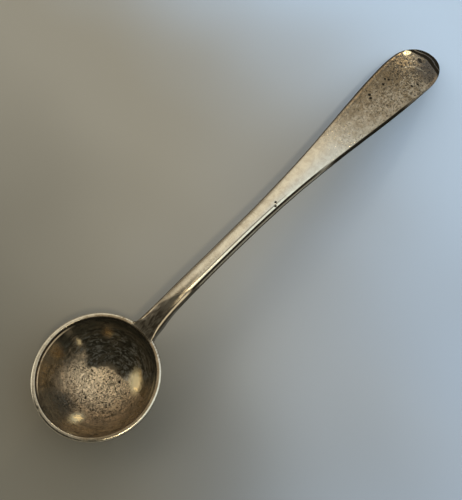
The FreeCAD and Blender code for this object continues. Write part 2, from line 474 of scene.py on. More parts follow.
    def ring_of(self, grid, first, last):
        """The hole's border as one ring: along its top, down, back along its bottom, and up."""
        side = self.ROOT_CELLS
        return np.concatenate([
            grid[first, :side], grid[first:last, side],
            grid[last, side:0:-1], grid[last:first:-1, 0],
        ])

    def section(self):
        """The handle's section as a ring. Its four columns are the place across, from -1 to 1 over the
        top and back along the underside, and how much of the upper corner, of the side and of the
        lower corner has been passed."""
        top = np.linspace(-1, 1, self.ROOT_CELLS + 1)[:-1]
        quarter = np.linspace(0, 1, self.CORNER_CELLS + 1)[:-1]
        straight = np.linspace(0, 1, self.SIDE_CELLS + 1)[:-1]
        runs = (
            (top, 0, 0, 0), (1, quarter, 0, 0), (1, 1, straight, 0), (1, 1, 1, quarter),
            (-top, 1, 1, 1), (-1, 1, 1, 1 - quarter), (-1, 1, 1 - straight, 0), (-1, 1 - quarter, 0, 0),
        )
        return np.concatenate([np.stack(np.broadcast_arrays(*run), axis=-1) for run in runs])

    def handle_rows(self, x, half, normal_x, normal_y):
        """Rings across the handle. A ring's outline point is pulled in along the outline's normal by
        what its corners take: a corner's radius times one less the sine of its turn. The upper corners
        start at the angle at which the crowned top, a parabola, reaches them. Also, per vertex, how
        far round the section it lies, from 0 on top over 1 and 2 at the side's ends to 3 on the
        back, and how far in from the outline."""
        form = self.form
        across, upper, level, lower = self.section().T
        widest = form.half_breadth(np.minimum(x, form.widest_x))
        corner = form.corner(x, widest)[:, None]
        low = np.minimum(self.sizes.bottom_corner, form.CORNER_LIMIT * widest)[:, None]
        thick, crown = form.thickness(x)[:, None], form.crown(x)[:, None]
        half, widest = half[:, None], widest[:, None]
        normal_x, normal_y = normal_x[:, None], normal_y[:, None]
        start = np.zeros_like(half)
        for _ in range(self.CROWN_ROUNDS):
            flat_half = half - corner * (1 - np.sin(start)) * normal_y
            top_half = widest - corner * (1 - np.sin(start))
            start = np.arctan(2 * crown * np.maximum(flat_half, 0.0) * normal_y / top_half**2)
        turn_up, turn_down = mix(start, math.pi / 2, upper), lower * math.pi / 2
        on_top = lower + upper + level == 0
        inset = np.where(lower > 0, low * (1 - np.cos(turn_down)), corner * (1 - np.sin(turn_up)))
        spread = np.sign(across) * (half - inset * normal_y)
        y = np.where(np.abs(across) < 1, across * np.where(on_top, flat_half, half - low * normal_y), spread)
        crown_drop = crown * np.minimum(np.abs(y) / top_half, np.abs(flat_half) / top_half) ** 2
        shoulder = crown_drop + corner * (np.cos(start) - np.cos(turn_up))
        foot = thick - low * (1 - np.sin(turn_down))
        drop = np.where(lower > 0, foot, mix(shoulder, thick - low, level))
        rings = form.place(x[:, None] - inset * normal_x, y, drop)
        zones = np.zeros((*y.shape, 4))
        zones[..., 2] = upper + level + lower
        zones[..., 3] = np.where(on_top, half - np.abs(y), inset)
        return rings, zones

    def fillet_rows(self, ring, into_hole, start_rows):
        """Rings from the hole's border to the stem: cubic curves that leave along the bowl's wall
        and arrive along the stem."""
        target, ahead = start_rows
        reach = np.linalg.norm(target - ring, axis=-1, keepdims=True)
        u = np.linspace(0, 1, self.FILLET_ROWS + 1)[1:-1, None, None]
        return cubic(u, ring, into_hole * reach * self.FILLET_PULL, target, unit(ahead - target) * reach)

    def add_handle(self, rows, numbers, first, last):
        """The handle's tube, from the hole's border to the round end."""
        form = self.form
        ring = self.ring_of(rows, first, last)
        ring_numbers = self.ring_of(numbers, first, last)
        start = form.rim_x + self.sizes.root_fillet_length
        x = np.linspace(start, form.widest_x, self.STEM_ROWS + 1)
        stem, stem_zones = self.handle_rows(x, form.half_breadth(x), np.zeros_like(x), np.ones_like(x))
        turn = np.linspace(0, math.pi / 2, self.END_ROWS + 1)
        end_x = mix(form.widest_x, form.end_x, np.sin(turn))
        end_half = form.half_breadth(end_x)
        along, out = np.gradient(end_x, turn), np.gradient(end_half, turn)
        along[-1], out[-1] = 0.0, -1.0
        steep = np.hypot(along, out)
        end, end_zones = self.handle_rows(end_x, end_half, -out / steep, along / steep)
        fillet = self.fillet_rows(ring, self.leaving(rows, first, last), stem[:2])
        fillet_zones = np.repeat(stem_zones[:1], len(fillet), axis=0)
        tube = np.concatenate([fillet, stem, end[1:]])
        tube_numbers = self.keep(tube, np.concatenate([fillet_zones, stem_zones, end_zones[1:]]))
        self.sew(np.concatenate([ring_numbers[None], tube_numbers]))

    def leaving(self, rows, first, last):
        """Unit directions in which the fillet leaves the hole's border, along the bowl's own surface."""
        side = self.ROOT_CELLS
        count = last - first
        forward = np.array([math.cos(self.sizes.rim_tilt), 0.0, -math.sin(self.sizes.rim_tilt)])
        inward = unit(rows[first:last + 1, side - 1] - rows[first:last + 1, side])
        mirrored = inward * np.array([1.0, -1.0, 1.0])
        upward = unit(rows[last - 1, :side + 1] - rows[last, :side + 1])
        on_rim = (1 - share(np.arange(count + 1), 0, self.FLAT_ROWS + self.ROUND_ROWS))[:, None]
        right = mix(inward, inward * self.FILLET_TURN + forward, on_rim)
        left = mix(mirrored, mirrored * self.FILLET_TURN + forward, on_rim)
        low = share(np.arange(count + 1), count - self.CORNER_CELLS, count)[:, None]
        right, left = mix(right, upward[side], low / 2), mix(left, upward[0], low / 2)
        top = np.repeat(forward[None], side, axis=0)
        return unit(np.concatenate([top, right[:-1], upward[side:0:-1], left[:0:-1]]))

    def mesh(self, name):
        """The whole surface as one closed mesh, moved to the frame's origin."""
        points = np.concatenate(self.points) + np.array([self.form.shift, 0, 0])
        made = bpy.data.meshes.new(name)
        made.from_pydata(points, [], self.faces)
        values = np.concatenate(self.zones).astype(np.float32)
        zones = made.attributes.new("zones", "FLOAT_VECTOR", "POINT")
        zones.data.foreach_set("vector", values[:, :3].ravel())
        inset = made.attributes.new("inset", "FLOAT", "POINT")
        inset.data.foreach_set("value", values[:, 3] / MM)
        return made


def shallow_waves(points, spacing, seed):
    """Slow hills from 0 to 1: a sum of sine waves in seeded directions, squeezed by a smooth step."""
    chance = np.random.default_rng(seed)
    directions = unit(chance.normal(size=(WAVE_COUNT, 3)))
    lengths = spacing * chance.uniform(*WAVE_LENGTHS, size=(WAVE_COUNT, 1))
    phases = chance.uniform(0, 2 * math.pi, size=WAVE_COUNT)
    waves = np.sin(points @ (2 * math.pi * directions / lengths).T + phases)
    return smooth_share(waves.sum(axis=1), -WAVE_SQUEEZE * WAVE_COUNT, WAVE_SQUEEZE * WAVE_COUNT)


def wear(mesh, form):
    """Sinks every vertex along its normal: by what polishing took off, by slow waves over the whole
    spoon, and by the rim's nick, which fades as a bell curve."""
    sizes = form.sizes
    points = np.zeros(len(mesh.vertices) * 3)
    mesh.vertices.foreach_get("co", points)
    points = points.reshape(-1, 3)
    normals = np.zeros(len(mesh.vertices) * 3, np.float32)
    mesh.vertex_normals.foreach_get("vector", normals)
    sunk = POLISHED_AWAY + sizes.dent_depth * shallow_waves(points, sizes.dent_spacing, seed=4)
    nick = form.seat(np.array([form.half_length * math.cos(NICK_ANGLE),
                               form.half_width * math.sin(NICK_ANGLE), 0.0]))
    nick[0] += form.shift
    away = np.linalg.norm(points - nick, axis=1)
    sunk += sizes.nick_depth * np.exp(-(away / NICK_REACH) ** 2)
    points -= normals.reshape(-1, 3) * sunk[:, None]
    mesh.vertices.foreach_set("co", points.ravel())


def close_seams(mesh):
    """Merges the vertices that fall together at the handle's tip."""
    work = bmesh.new()
    work.from_mesh(mesh)
    bmesh.ops.remove_doubles(work, verts=work.verts, dist=MERGE_DISTANCE)
    work.to_mesh(mesh)
    work.free()


class Wiring:
    """Adds nodes to one node tree. An input is a number, a colour or another node's output."""

    def __init__(self, tree):
        self.tree = tree
        tree.nodes.clear()

    def feed(self, socket, value):
        """Links an output to the socket, or sets it to a number, a vector or an opaque colour."""
        if isinstance(value, bpy.types.NodeSocket):
            self.tree.links.new(value, socket)
        elif socket.type == "RGBA":
            socket.default_value = (*value, 1.0)
        else:
            socket.default_value = value

    def node(self, kind, inputs, **settings):
        """A node with its settings made and its inputs fed, by their names or numbers."""
        made = self.tree.nodes.new(kind)
        for name, value in settings.items():
            setattr(made, name, value)
        for key, value in inputs.items():
            self.feed(made.inputs[key], value)
        return made

    def maths(self, operation, *values):
        """One operation on numbers."""
        return self.node("ShaderNodeMath", dict(enumerate(values)), operation=operation).outputs[0]

    def fold(self, operation, values):
        """One operation done over and over: on the first two values, then on that and the third."""
        result = values[0]
        for value in values[1:]:
            result = self.maths(operation, result, value)
        return result

    def plus(self, *values):
        """The sum of the values."""
        return self.fold("ADD", values)

    def times(self, *values):
        """The product of the values."""
        return self.fold("MULTIPLY", values)

    def most(self, *values):
        """The largest of the values."""
        return self.fold("MAXIMUM", values)

    def less(self, value):
        """One less the value."""
        return self.maths("SUBTRACT", 1.0, value)

    def apart(self, first, second):
        """The difference of two numbers, without its sign."""
        return self.maths("ABSOLUTE", self.maths("SUBTRACT", first, second))

    def fade(self, value, low, high, at_low=0.0, at_high=1.0):
        """Eases from at_low to at_high as the value goes from low to high."""
        made = self.node("ShaderNodeMapRange", {0: value, 1: low, 2: high, 3: at_low, 4: at_high},
                         interpolation_type="SMOOTHSTEP")
        return made.outputs[0]

    def band(self, value, rise, full, fall, gone):
        """Eases from 0 at rise to 1 at full, and from 1 at fall back to 0 at gone."""
        return self.times(self.fade(value, rise, full), self.fade(value, gone, fall))

    def blend(self, factor, first, second):
        """The first colour at 0 and the second at 1."""
        made = self.node("ShaderNodeMix", {0: factor, 6: first, 7: second}, data_type="RGBA")
        return made.outputs[2]

    def vector(self, operation, *values):
        """A vector operation whose result is a vector."""
        made = self.node("ShaderNodeVectorMath", dict(enumerate(values)), operation=operation)
        return made.outputs["Vector"]

    def measure(self, operation, *values):
        """A vector operation whose result is a number."""
        made = self.node("ShaderNodeVectorMath", dict(enumerate(values)), operation=operation)
        return made.outputs["Value"]

    def split(self, vector):
        """A vector's three parts."""
        return self.node("ShaderNodeSeparateXYZ", {0: vector}).outputs

    def join(self, x, y):
        """A flat vector from two numbers."""
        return self.node("ShaderNodeCombineXYZ", {0: x, 1: y}).outputs[0]

    def noise(self, place, scale, detail=2.0, roughness=0.5, distortion=0.0, output="Fac"):
        """Even noise round 0.5, as a number or as three."""
        made = self.node("ShaderNodeTexNoise", {"Vector": place, "Scale": scale, "Detail": detail,
                                                "Roughness": roughness, "Distortion": distortion})
        return made.outputs[output]


# All places below are in millimetres. In the bowl they are counted to the right and upwards in the
# photo from the bowl's centre, and on the handle along and across it from under the spoon's middle.
FLAT = (1.0, 1.0, 0.0)
CENTRE = (0.0, 0.0, 0.0)
# How far the photo's right lies from the handle's direction
PHOTO_TURN = math.radians(45)

# The pitted patch: its middle, how it is stretched, how far from the middle it has faded and is
# full, and the left and lower borders of the corner that it leaves clean, whose lower border falls
# away to the right of the knee
PITTED_MIDDLE = (-0.8, -1.4, 0.0)
PITTED_STRETCH = (0.92, 1.0, 0.0)
PITTED_REACH = (9.2, 4.8)
CLEAN_LEFT = -3.6
CLEAN_LOW = 2.25
CLEAN_KNEE = 0.3
CLEAN_FALL = 0.8
# Middles: the palest ground, the lamp's image, hidden by painted shade, and the dark lower left wall
PALE_MIDDLE = (-0.3, 0.9, 0.0)
LAMP_IMAGE = (-1.9, 2.2, 0.0)
LOW_LEFT = (-8.5, -5.0, 0.0)
# The middles and half sizes of the bright patches, which are painted highlights, and of the smooth ones
HIGHLIGHT_PATCHES = ((5.5, -0.6, 1.2, 2.2), (-4.3, -6.75, 1.15, 0.9), (-4.45, 6.4, 0.4, 0.55))
SMOOTH = ((0.65, 8.1, 1.0, 0.8), (-7.9, 4.5, 1.1, 1.5))
# A paler streak runs down the left of the bowl: the direction square to it, and its place that way
STREAK_SIDE = (0.881, 0.473, 0.0)
STREAK_OFFSET = -1.25

# The dark wedge at the handle's root: where its slanting side crosses the middle, and its slant
WEDGE_PLACE = -19.9
WEDGE_SLANT = 0.4
# The dark crescent round the tip: where its inner border lies in the middle, as a share of the way
# out to the outline, the middle of the stretch where it is there, half that stretch's length, and
# how far its border wanders
CRESCENT_START = 0.64
CRESCENT_MIDDLE = (49.0, 0.0, 0.0)
CRESCENT_REACH = 6.2
CRESCENT_SHAKE = 0.03
# A faint bright arc near the tip, and the bright spot on the tip's left edge, a painted highlight
END_ARC_MIDDLE = (41.0, -1.75, 0.0)
END_ARC_RADIUS = 3.2
END_HIGHLIGHT = (45.5, 3.5, 0.0)
END_HIGHLIGHT_STRETCH = (0.7, 1.2, 0.0)
# The larger pits: place and radius
PITS = (
    (-37.5, -1.9, 0.28), (3.6, -1.0, 0.20), (4.1, -0.5, 0.20), (31.8, 1.4, 0.26), (32.2, 2.0, 0.30),
    (35.8, 1.7, 0.26), (36.9, 2.2, 0.20), (37.3, 1.6, 0.24), (39.5, -2.3, 0.24), (40.7, -2.8, 0.24),
    (45.7, 0.3, 0.38), (46.0, 0.7, 0.48), (47.4, 2.3, 0.24),
)


class SilverNodes:
    """Where a point lies on the spoon, and the patterns that its films and marks are made of. The
    girth runs round the handle from 0 on top over 1 and 2 at the side's ends to 3 on the back, and
    the inset is counted in from the handle's outline."""

    def __init__(self, w, form):
        self.w = w
        self.form = form
        coordinates = w.node("ShaderNodeTexCoord", {}).outputs["Object"]
        self.place = w.node("ShaderNodeMapping", {"Vector": coordinates, "Scale": (1 / MM,) * 3}).outputs[0]
        self.along, self.across, _ = w.split(self.place)
        zones = w.node("ShaderNodeAttribute", {}, attribute_name="zones").outputs["Vector"]
        self.inside, self.rim, self.girth = w.split(zones)
        self.outside = w.less(self.inside)
        self.inset = w.node("ShaderNodeAttribute", {}, attribute_name="inset").outputs["Fac"]
        self.upward = w.split(w.node("ShaderNodeNewGeometry", {}).outputs["Normal"])[2]
        self.facing_up = w.fade(self.upward, 0.1, 0.4)
        self.set_bowl_places()
        self.set_patterns()

    def set_bowl_places(self):
        """Places counted from the bowl's centre, as the photo is turned, and below the rim's plane."""
        w, form = self.w, self.form
        tilt = form.sizes.rim_tilt
        from_bowl = w.vector("SUBTRACT", self.place, (form.shift / MM, 0.0, 0.0))
        self.turned = w.node("ShaderNodeVectorRotate", {"Vector": from_bowl, "Angle": PHOTO_TURN},
                             rotation_type="Z_AXIS").outputs[0]
        self.rightwards, self.upwards, _ = w.split(self.turned)
        self.radius = self.distance(from_bowl, CENTRE)
        from_rim = w.vector("SUBTRACT", from_bowl, (0.0, 0.0, form.centre_height / MM))
        rim_normal = (math.sin(tilt), 0.0, math.cos(tilt))
        self.below_rim = w.times(w.measure("DOT_PRODUCT", from_rim, rim_normal), -1.0)

    def set_patterns(self):
        """Noise of several sizes: even, drawn out along the handle, and running round the bowl."""
        w = self.w
        self.cloudy = w.noise(self.place, 0.30, detail=4.0, roughness=0.6)
        self.blotchy = w.noise(self.place, 0.9, detail=6.0, roughness=0.65, distortion=0.5)
        self.grainy = w.noise(self.place, 2.9, detail=3.0, roughness=0.65, distortion=0.8)
        self.fine = w.noise(self.place, 2.2, detail=5.0, roughness=0.7)
        self.uneven = w.plus(self.blotchy, w.times(self.cloudy, 0.5))
        mottle = w.plus(w.times(self.fine, 0.6), w.times(self.blotchy, 0.4))
        self.mottle = w.plus(mottle, w.fade(self.across, -3.5, 3.5, -0.09, 0.06))
        wandering = w.noise(self.place, 1.6, detail=2.0, roughness=0.6, distortion=1.2)
        self.worms = w.fade(w.apart(wandering, 0.5), 0.07, 0.02)
        stretched = w.vector("MULTIPLY", self.place, (0.2, 3.0, 3.0))
        self.streaky = w.noise(stretched, 1.0, detail=4.0, roughness=0.6)
        turn = w.maths("ARCTAN2", self.upwards, self.rightwards)
        self.ringed = w.noise(w.join(self.radius, w.times(turn, 1.1)), 1.7, detail=5.0, roughness=0.65,
                              distortion=0.3)
        self.strands = w.noise(w.join(self.radius, w.times(turn, 2.6)), 2.2, detail=4.0, roughness=0.6,
                               distortion=0.9)
        self.shake = w.noise(self.place, 1.5, detail=3.0, output="Color")

    def distance(self, point, middle, scale=FLAT):
        """How far a point lies from a place, with each axis scaled."""
        away = self.w.vector("SUBTRACT", point, middle)
        return self.w.measure("LENGTH", self.w.vector("MULTIPLY", away, scale))

    def shaken(self, point, noise, reach):
        """A point moved about by noise, by up to half the reach each way."""
        moved = self.w.vector("MULTIPLY_ADD", noise, (reach, reach, 0.0), point)
        return self.w.vector("SUBTRACT", moved, (reach / 2, reach / 2, 0.0))

    def where(self, *shares, **spans):
        """The product of some shares and of how far each named value lies in its span: it eases in
        between the first two numbers, and where there are four, out again between the last two."""
        for name, span in spans.items():
            ease = self.w.fade if len(span) == 2 else self.w.band
            shares += (ease(getattr(self, name), *span),)
        return self.w.times(*shares)

    def pitted_patch(self):
        """Inside the bowl, the patch that salt has eaten: an uneven disc less one corner."""
        w = self.w
        away = w.plus(self.distance(self.turned, PITTED_MIDDLE, PITTED_STRETCH),
                      w.fade(self.blotchy, 0.3, 0.7, -0.9, 0.9))
        right, up, _ = w.split(self.shaken(self.turned, self.shake, 1.2))
        falling = w.times(w.most(w.plus(right, -CLEAN_KNEE), 0.0), CLEAN_FALL)
        corner = w.maths("MINIMUM", w.plus(right, -CLEAN_LEFT), w.plus(up, -CLEAN_LOW, falling))
        return w.times(self.inside, w.fade(away, *PITTED_REACH), w.fade(corner, 0.3, -0.3))

    def patches(self, places):
        """Patches inside the bowl with frayed edges, by their middles and half sizes."""
        w = self.w
        point = self.shaken(self.turned, self.shake, 0.9)
        away = [self.distance(point, (right, up, 0.0), (1 / half_width, 1 / half_height, 0.0))
                for right, up, half_width, half_height in places]
        return w.times(self.inside, w.most(*[w.fade(far, 1.5, 0.3) for far in away]))

    def across_crescent(self):
        """How far a point lies across the dark crescent round the tip, from 0 at the inner border to 1 at
        the outline."""
        w, form = self.w, self.form
        beyond = w.most(w.plus(self.along, -(form.widest_x + form.shift) / MM), 0.0)
        out = self.distance(w.join(w.times(beyond, MM / form.sizes.widest_from_end),
                                   w.times(self.across, 2 * MM / form.sizes.end_width)), CENTRE)
        out = w.plus(out, w.times(w.plus(self.fine, -0.5), CRESCENT_SHAKE))
        off_side = w.times(self.distance(self.place, CRESCENT_MIDDLE), 1 / CRESCENT_REACH)
        inner = w.fade(off_side, 0.3, 1.0, CRESCENT_START, 1.0)
        return w.times(w.maths("SUBTRACT", out, inner), 1 / (1 - CRESCENT_START))

    def large_pits(self):
        """1 in the middle of each larger pit, easing to 0 at an uneven edge, on upper faces alone."""
        w = self.w
        point = self.shaken(self.place, w.noise(self.place, 4.0, detail=1.0, output="Color"), 0.3)
        found = [w.fade(self.distance(point, (x, y, 0.0)), radius * 1.35, radius * 0.75)
                 for x, y, radius in PITS]
        return w.times(w.most(*found), self.facing_up)


class BowlMarks:
    """How much of a point each film and mark in and on the bowl covers, from 0 to 1, painted highlights and
    shade among them.
    """

    def __init__(self, w, n):
        self.set_patches(w, n)
        self.set_wall_films(w, n)
        self.set_rim_marks(w, n)

    def set_patches(self, w, n):
        """The bright patches, which are painted highlights, the smooth patches, the pitted ground, and what
        else fills a part of the hollow.
        """
        self.polished, self.smooth = n.patches(HIGHLIGHT_PATCHES), n.patches(SMOOTH)
        # The right patch is a painted highlight too, with duller metal so that its pale colour shows
        self.right_highlight = n.patches(HIGHLIGHT_PATCHES[:1])
        self.low_left = w.fade(n.distance(n.turned, LOW_LEFT), 4.4, 2.0)
        self.pitted = w.times(n.pitted_patch(), w.less(w.most(self.polished, self.smooth)))
        self.bare = w.times(n.inside, w.less(self.polished))
        self.clean = w.times(self.bare, w.less(self.pitted))
        # Painted shade: darker, matt and rough where the overhead lamp's image falls, so that its glint is
        # hidden
        self.lamp_image_shade = w.times(n.inside, w.less(self.pitted),
                                  w.fade(n.distance(n.turned, LAMP_IMAGE), 5.0, 2.4))

    def set_wall_films(self, w, n):
        """The old film high in the bowl and at its lower left, which on the upper side is also painted
        shade, and what lies over it.
        """
        # Painted shade: the olive film is strongest on the bowl's upper side, standing in for the dark it
        # reflects
        upper = w.fade(w.plus(n.upwards, w.times(n.rightwards, 0.25)), -1.5, 2.5)
        self.wall = n.where(self.clean, radius=(4.0, 7.0))
        self.old_film_and_shade = n.where(self.bare, w.less(w.times(self.pitted, 0.8)), w.less(self.smooth),
                           w.most(upper, self.low_left), w.fade(n.ringed, 0.34, 0.60, 0.85, 1.0),
                           radius=(1.5, 3.5))
        to_streak = w.apart(w.measure("DOT_PRODUCT", n.turned, STREAK_SIDE), STREAK_OFFSET)
        self.streak = n.where(self.clean, w.fade(to_streak, 1.0, 0.2),
                              w.fade(n.ringed, 0.35, 0.6, 1.0, 0.4), upwards=(3.0, 4.5),
                              rightwards=(0.0, -2.0))
        self.gritty = w.times(self.clean, w.most(self.low_left, w.fade(n.upwards, -3.5, -6.5)))
        self.wisps = w.times(self.clean, w.fade(n.strands, 0.50, 0.36, 0.0, 0.8), w.less(self.smooth))

    def set_rim_marks(self, w, n):
        """The rim's flat and worn edge, the lines under it, a painted shade line and a painted highlight
        line, and the painted shade on the bowl's outside.
        """
        self.rim_flat = n.where(rim=(0.05, 0.25, 0.55, 0.75))
        self.worn_edge = n.where(rim=(0.60, 0.85))
        # Painted shade: a dark line just under the rim's inner edge
        self.rim_shade_line = n.where(n.inside, 0.8, below_rim=(0.08, 0.14, 1.0, 1.2))
        # Painted highlight: a thin pale line under the rim's inner edge, at the lower left
        self.inner_highlight_line = n.where(n.inside, w.fade(n.ringed, 0.3, 0.5, 0.5, 1.0),
                                  below_rim=(1.05, 1.2, 1.6, 1.75), rightwards=(-4.0, -7.5),
                                  upwards=(-4.0, -1.0))
        # Painted shade: a dark umber band on the bowl's outside below the rim, on faces that turn sideways,
        # also matt
        below = w.plus(n.below_rim, w.fade(n.cloudy, 0.3, 0.7, -1.2, 1.2))
        self.outer_wall = n.where(n.outside, w.fade(below, 5.0, 0.8), upward=(0.62, 0.38),
                                  girth=(0.1, 0.0), radius=(13.0, 12.0))


class HandleMarks:
    """How much of a point each film and mark on the handle covers, from 0 to 1, painted highlights and shade
    among them.
    """

    def __init__(self, w, n):
        self.right, self.left = n.where(across=(0.0, -0.5)), n.where(across=(0.0, 0.5))
        self.corner = n.where(girth=(0.0, 0.4, 2.6, 3.0))
        self.set_root_marks(w, n)
        self.set_stem_marks(n)
        self.set_end_film(w, n)
        self.set_end_lines(w, n)
        # Dark lines: those along the stem and the end's right edge are painted shade; the end's left lines
        # and the crescent are dark marks
        self.lines = w.most(self.right_line, self.right_edge, w.times(self.ridge_line, 0.6),
                            w.times(self.left_lines, 0.7), self.crescent)

    def set_root_marks(self, w, n):
        """The film, the dark wedge of painted shade, and the pale ridge of painted highlight where the stem
        leaves the bowl.
        """
        self.root = n.where(along=(-30.5, -28.5, -25.5, -20.0))
        self.root_film = n.where(n.outside, along=(-12.0, -20.0), rim=(0.1, 0.0))
        wedge = w.plus(n.across, w.times(w.plus(n.along, -WEDGE_PLACE), WEDGE_SLANT))
        on_top = w.times(w.fade(n.inset, 0.50, 0.62), w.fade(n.streaky, 0.40, 0.60, 0.75, 1.0))
        at_edge = w.fade(n.inset, 0.26, 0.18)
        self.root_shadow = n.where(n.outside, w.most(on_top, at_edge), w.fade(wedge, 0.3, -0.3),
                                   rim=(0.1, 0.0), girth=(2.2, 1.8))
        # Painted highlight: a pale line along the right shoulder near the root, with less metal so that it
        # shows
        self.root_ridge_highlight = n.where(n.outside, self.right, inset=(0.22, 0.32, 0.48, 0.58),
                                  along=(-29.0, -27.5, -19.0, -17.0), girth=(1.2, 0.9))

    def set_stem_marks(self, n):
        """The dark lines along the stem's ridges and edges, and its dark side and underside: painted shade
        for the dark that these faces reflect.
        """
        self.ridge_line = n.where(self.right, inset=(0.84, 0.92, 1.04, 1.14),
                                  along=(-21.0, -18.0, 2.0, 8.0), girth=(0.2, 0.1))
        self.right_line = n.where(self.right, inset=(0.16, 0.24, 0.52, 0.60),
                                  along=(-21.0, -18.0, 12.0, 20.0), girth=(0.7, 0.5))
        self.right_edge = n.where(self.right, inset=(0.50, 0.32), along=(12.0, 18.0, 34.0, 40.0))
        self.side_line = n.where(self.right, along=(-26.0, -20.0), girth=(1.0, 1.12, 2.6, 2.9))
        self.left_outline = n.where(self.left, along=(-26.0, -22.0), inset=(0.30, 0.20), girth=(2.2, 1.8))

    def set_end_film(self, w, n):
        """The film on the wide end, its dark tip and golden corner, and the painted highlight spot, left
        bare.
        """
        self.end = n.where(along=(14.0, 34.0))
        self.head = n.where(along=(33.0, 37.5, 43.5, 45.0))
        self.tip = w.most(n.where(along=(41.2, 43.8), across=(1.0, -1.0)),
                          n.where(0.8, along=(46.6, 48.6), across=(2.2, 0.6)))
        self.golden = n.where(self.end, across=(0.6, 2.2), along=(43.3, 45.3))
        # Painted highlight: a pale bare spot round the low lamp's glint on the tip's left edge
        point = n.shaken(n.place, n.shake, 0.5)
        self.highlight_spot = w.fade(n.distance(point, END_HIGHLIGHT, END_HIGHLIGHT_STRETCH), 0.95, 0.5)

    def set_end_lines(self, w, n):
        """The bright arc, the copper-coloured and dark lines, and the dark crescent round the tip."""
        to_arc = w.apart(n.distance(n.place, END_ARC_MIDDLE), END_ARC_RADIUS)
        self.arc = n.where(self.end, w.fade(to_arc, 0.32, 0.05), w.fade(n.fine, 0.40, 0.55, 0.5, 1.0),
                           along=(40.8, 42.3), across=(-2.8, -1.0))
        self.copper_edge = n.where(self.end, self.right, inset=(0.9, 0.2), along=(41.0, 43.0, 45.0, 48.0))
        left = n.where(self.end, across=(1.5, 2.5), along=(45.5, 43.5), girth=(1.0, 0.8))
        self.copper_line = n.where(left, 0.45, inset=(0.40, 0.48, 0.62, 0.78))
        self.left_lines = w.most(n.where(left, inset=(0.10, 0.18, 0.32, 0.40)),
                                 n.where(left, 0.5, inset=(0.85, 0.95, 1.02, 1.15)))
        out = n.across_crescent()
        pale_line = w.band(out, 0.46, 0.51, 0.55, 0.60)
        self.crescent = n.where(self.end, w.fade(out, 0.0, 0.12), w.less(w.times(pale_line, 0.7)),
                                girth=(2.1, 1.3))


def pit_share(w, n, bowl, handle):
    """Small pits and short furrows where salt has eaten the metal, and the larger pits."""
    on_end = w.times(handle.end, n.facing_up)
    speck = w.times(w.fade(n.grainy, 0.53, 0.61), w.most(
        bowl.pitted, w.times(on_end, w.fade(n.along, 36.0, 42.0, 0.75, 1.0)),
        w.times(bowl.bare, w.fade(bowl.low_left, 0.0, 1.0, 0.4, 0.9))))
    furrow = w.times(
        n.worms, w.fade(n.cloudy, 0.35, 0.55, 0.5, 1.0), w.fade(n.upwards, 3.0, -4.0, 0.75, 1.15),
        w.most(w.times(bowl.pitted, 0.7), w.times(bowl.bare, 0.35),
               w.times(on_end, w.fade(n.along, 36.0, 42.0, 0.3, 0.7))))
    return w.most(speck, furrow, n.large_pits())


def film_share(w, n, bowl, handle):
    """The thin film that dulls the metal: nearly all of the bowl, less where hands have rubbed, and least on
    the painted highlights.
    """
    film = w.plus(
        w.fade(n.blotchy, 0.38, 0.68, 0.0, 0.35),
        w.times(n.inside, w.less(w.times(bowl.polished, 0.9))),
        w.times(handle.end, 0.70),
        w.times(bowl.rim_flat, w.fade(n.rightwards, -5.0, 2.0, 0.2, 0.9)),
        w.times(handle.corner, w.fade(n.across, 0.5, 0.0, 0.15, 0.6)),
        w.times(handle.root_film, 0.5))
    rubbed_edge = w.times(bowl.worn_edge, w.fade(n.rightwards, 4.0, -2.0, 0.35, 0.9))
    return w.times(w.maths("MINIMUM", film, 1.0), w.less(rubbed_edge), w.less(handle.highlight_spot))


def stain_share(w, n, bowl, handle):
    """The thicker brown film, in clouds."""
    clean_side = w.fade(n.rightwards, 2.0, -5.0, 0.0, 0.8)
    stain = w.most(
        w.times(bowl.wall, w.fade(n.ringed, 0.36, 0.66, 0.1, 0.85)),
        w.times(handle.root, w.fade(n.streaky, 0.40, 0.62, 0.15, 0.9)),
        w.times(handle.end, w.fade(n.mottle, 0.40, 0.58, 0.25, 0.85)),
        w.times(handle.tip, w.fade(n.mottle, 0.36, 0.54, 0.75, 1.0)),
        w.times(handle.head, w.fade(n.mottle, 0.38, 0.52, 0.35, 0.95)),
        w.times(handle.corner, handle.left, handle.end, 0.4),
        w.times(bowl.rim_flat, w.fade(n.uneven, 0.50, 0.85, 0.2, 0.7), w.less(clean_side)))
    return w.times(stain, w.less(handle.highlight_spot), w.less(w.times(bowl.smooth, 0.6)))


def ground_colour(w, n, bowl, look):
    """The pitted patch's ground: sandy in the middle, golden and brown round it, olive at lower left."""
    pale = w.fade(n.distance(n.turned, PALE_MIDDLE), 8.2, 3.0)
    rusty = n.where(0.55, blotchy=(0.50, 0.66), upwards=(1.0, -3.0))
    ground = w.blend(w.fade(n.ringed, 0.36, 0.62, 0.0, 0.8), look.gold, look.brown)
    ground = w.blend(pale, ground, look.sand)
    ground = w.blend(rusty, ground, look.gold)
    return w.blend(w.times(bowl.low_left, w.fade(n.fine, 0.60, 0.46, 0.45, 1.0)), ground, look.olive)


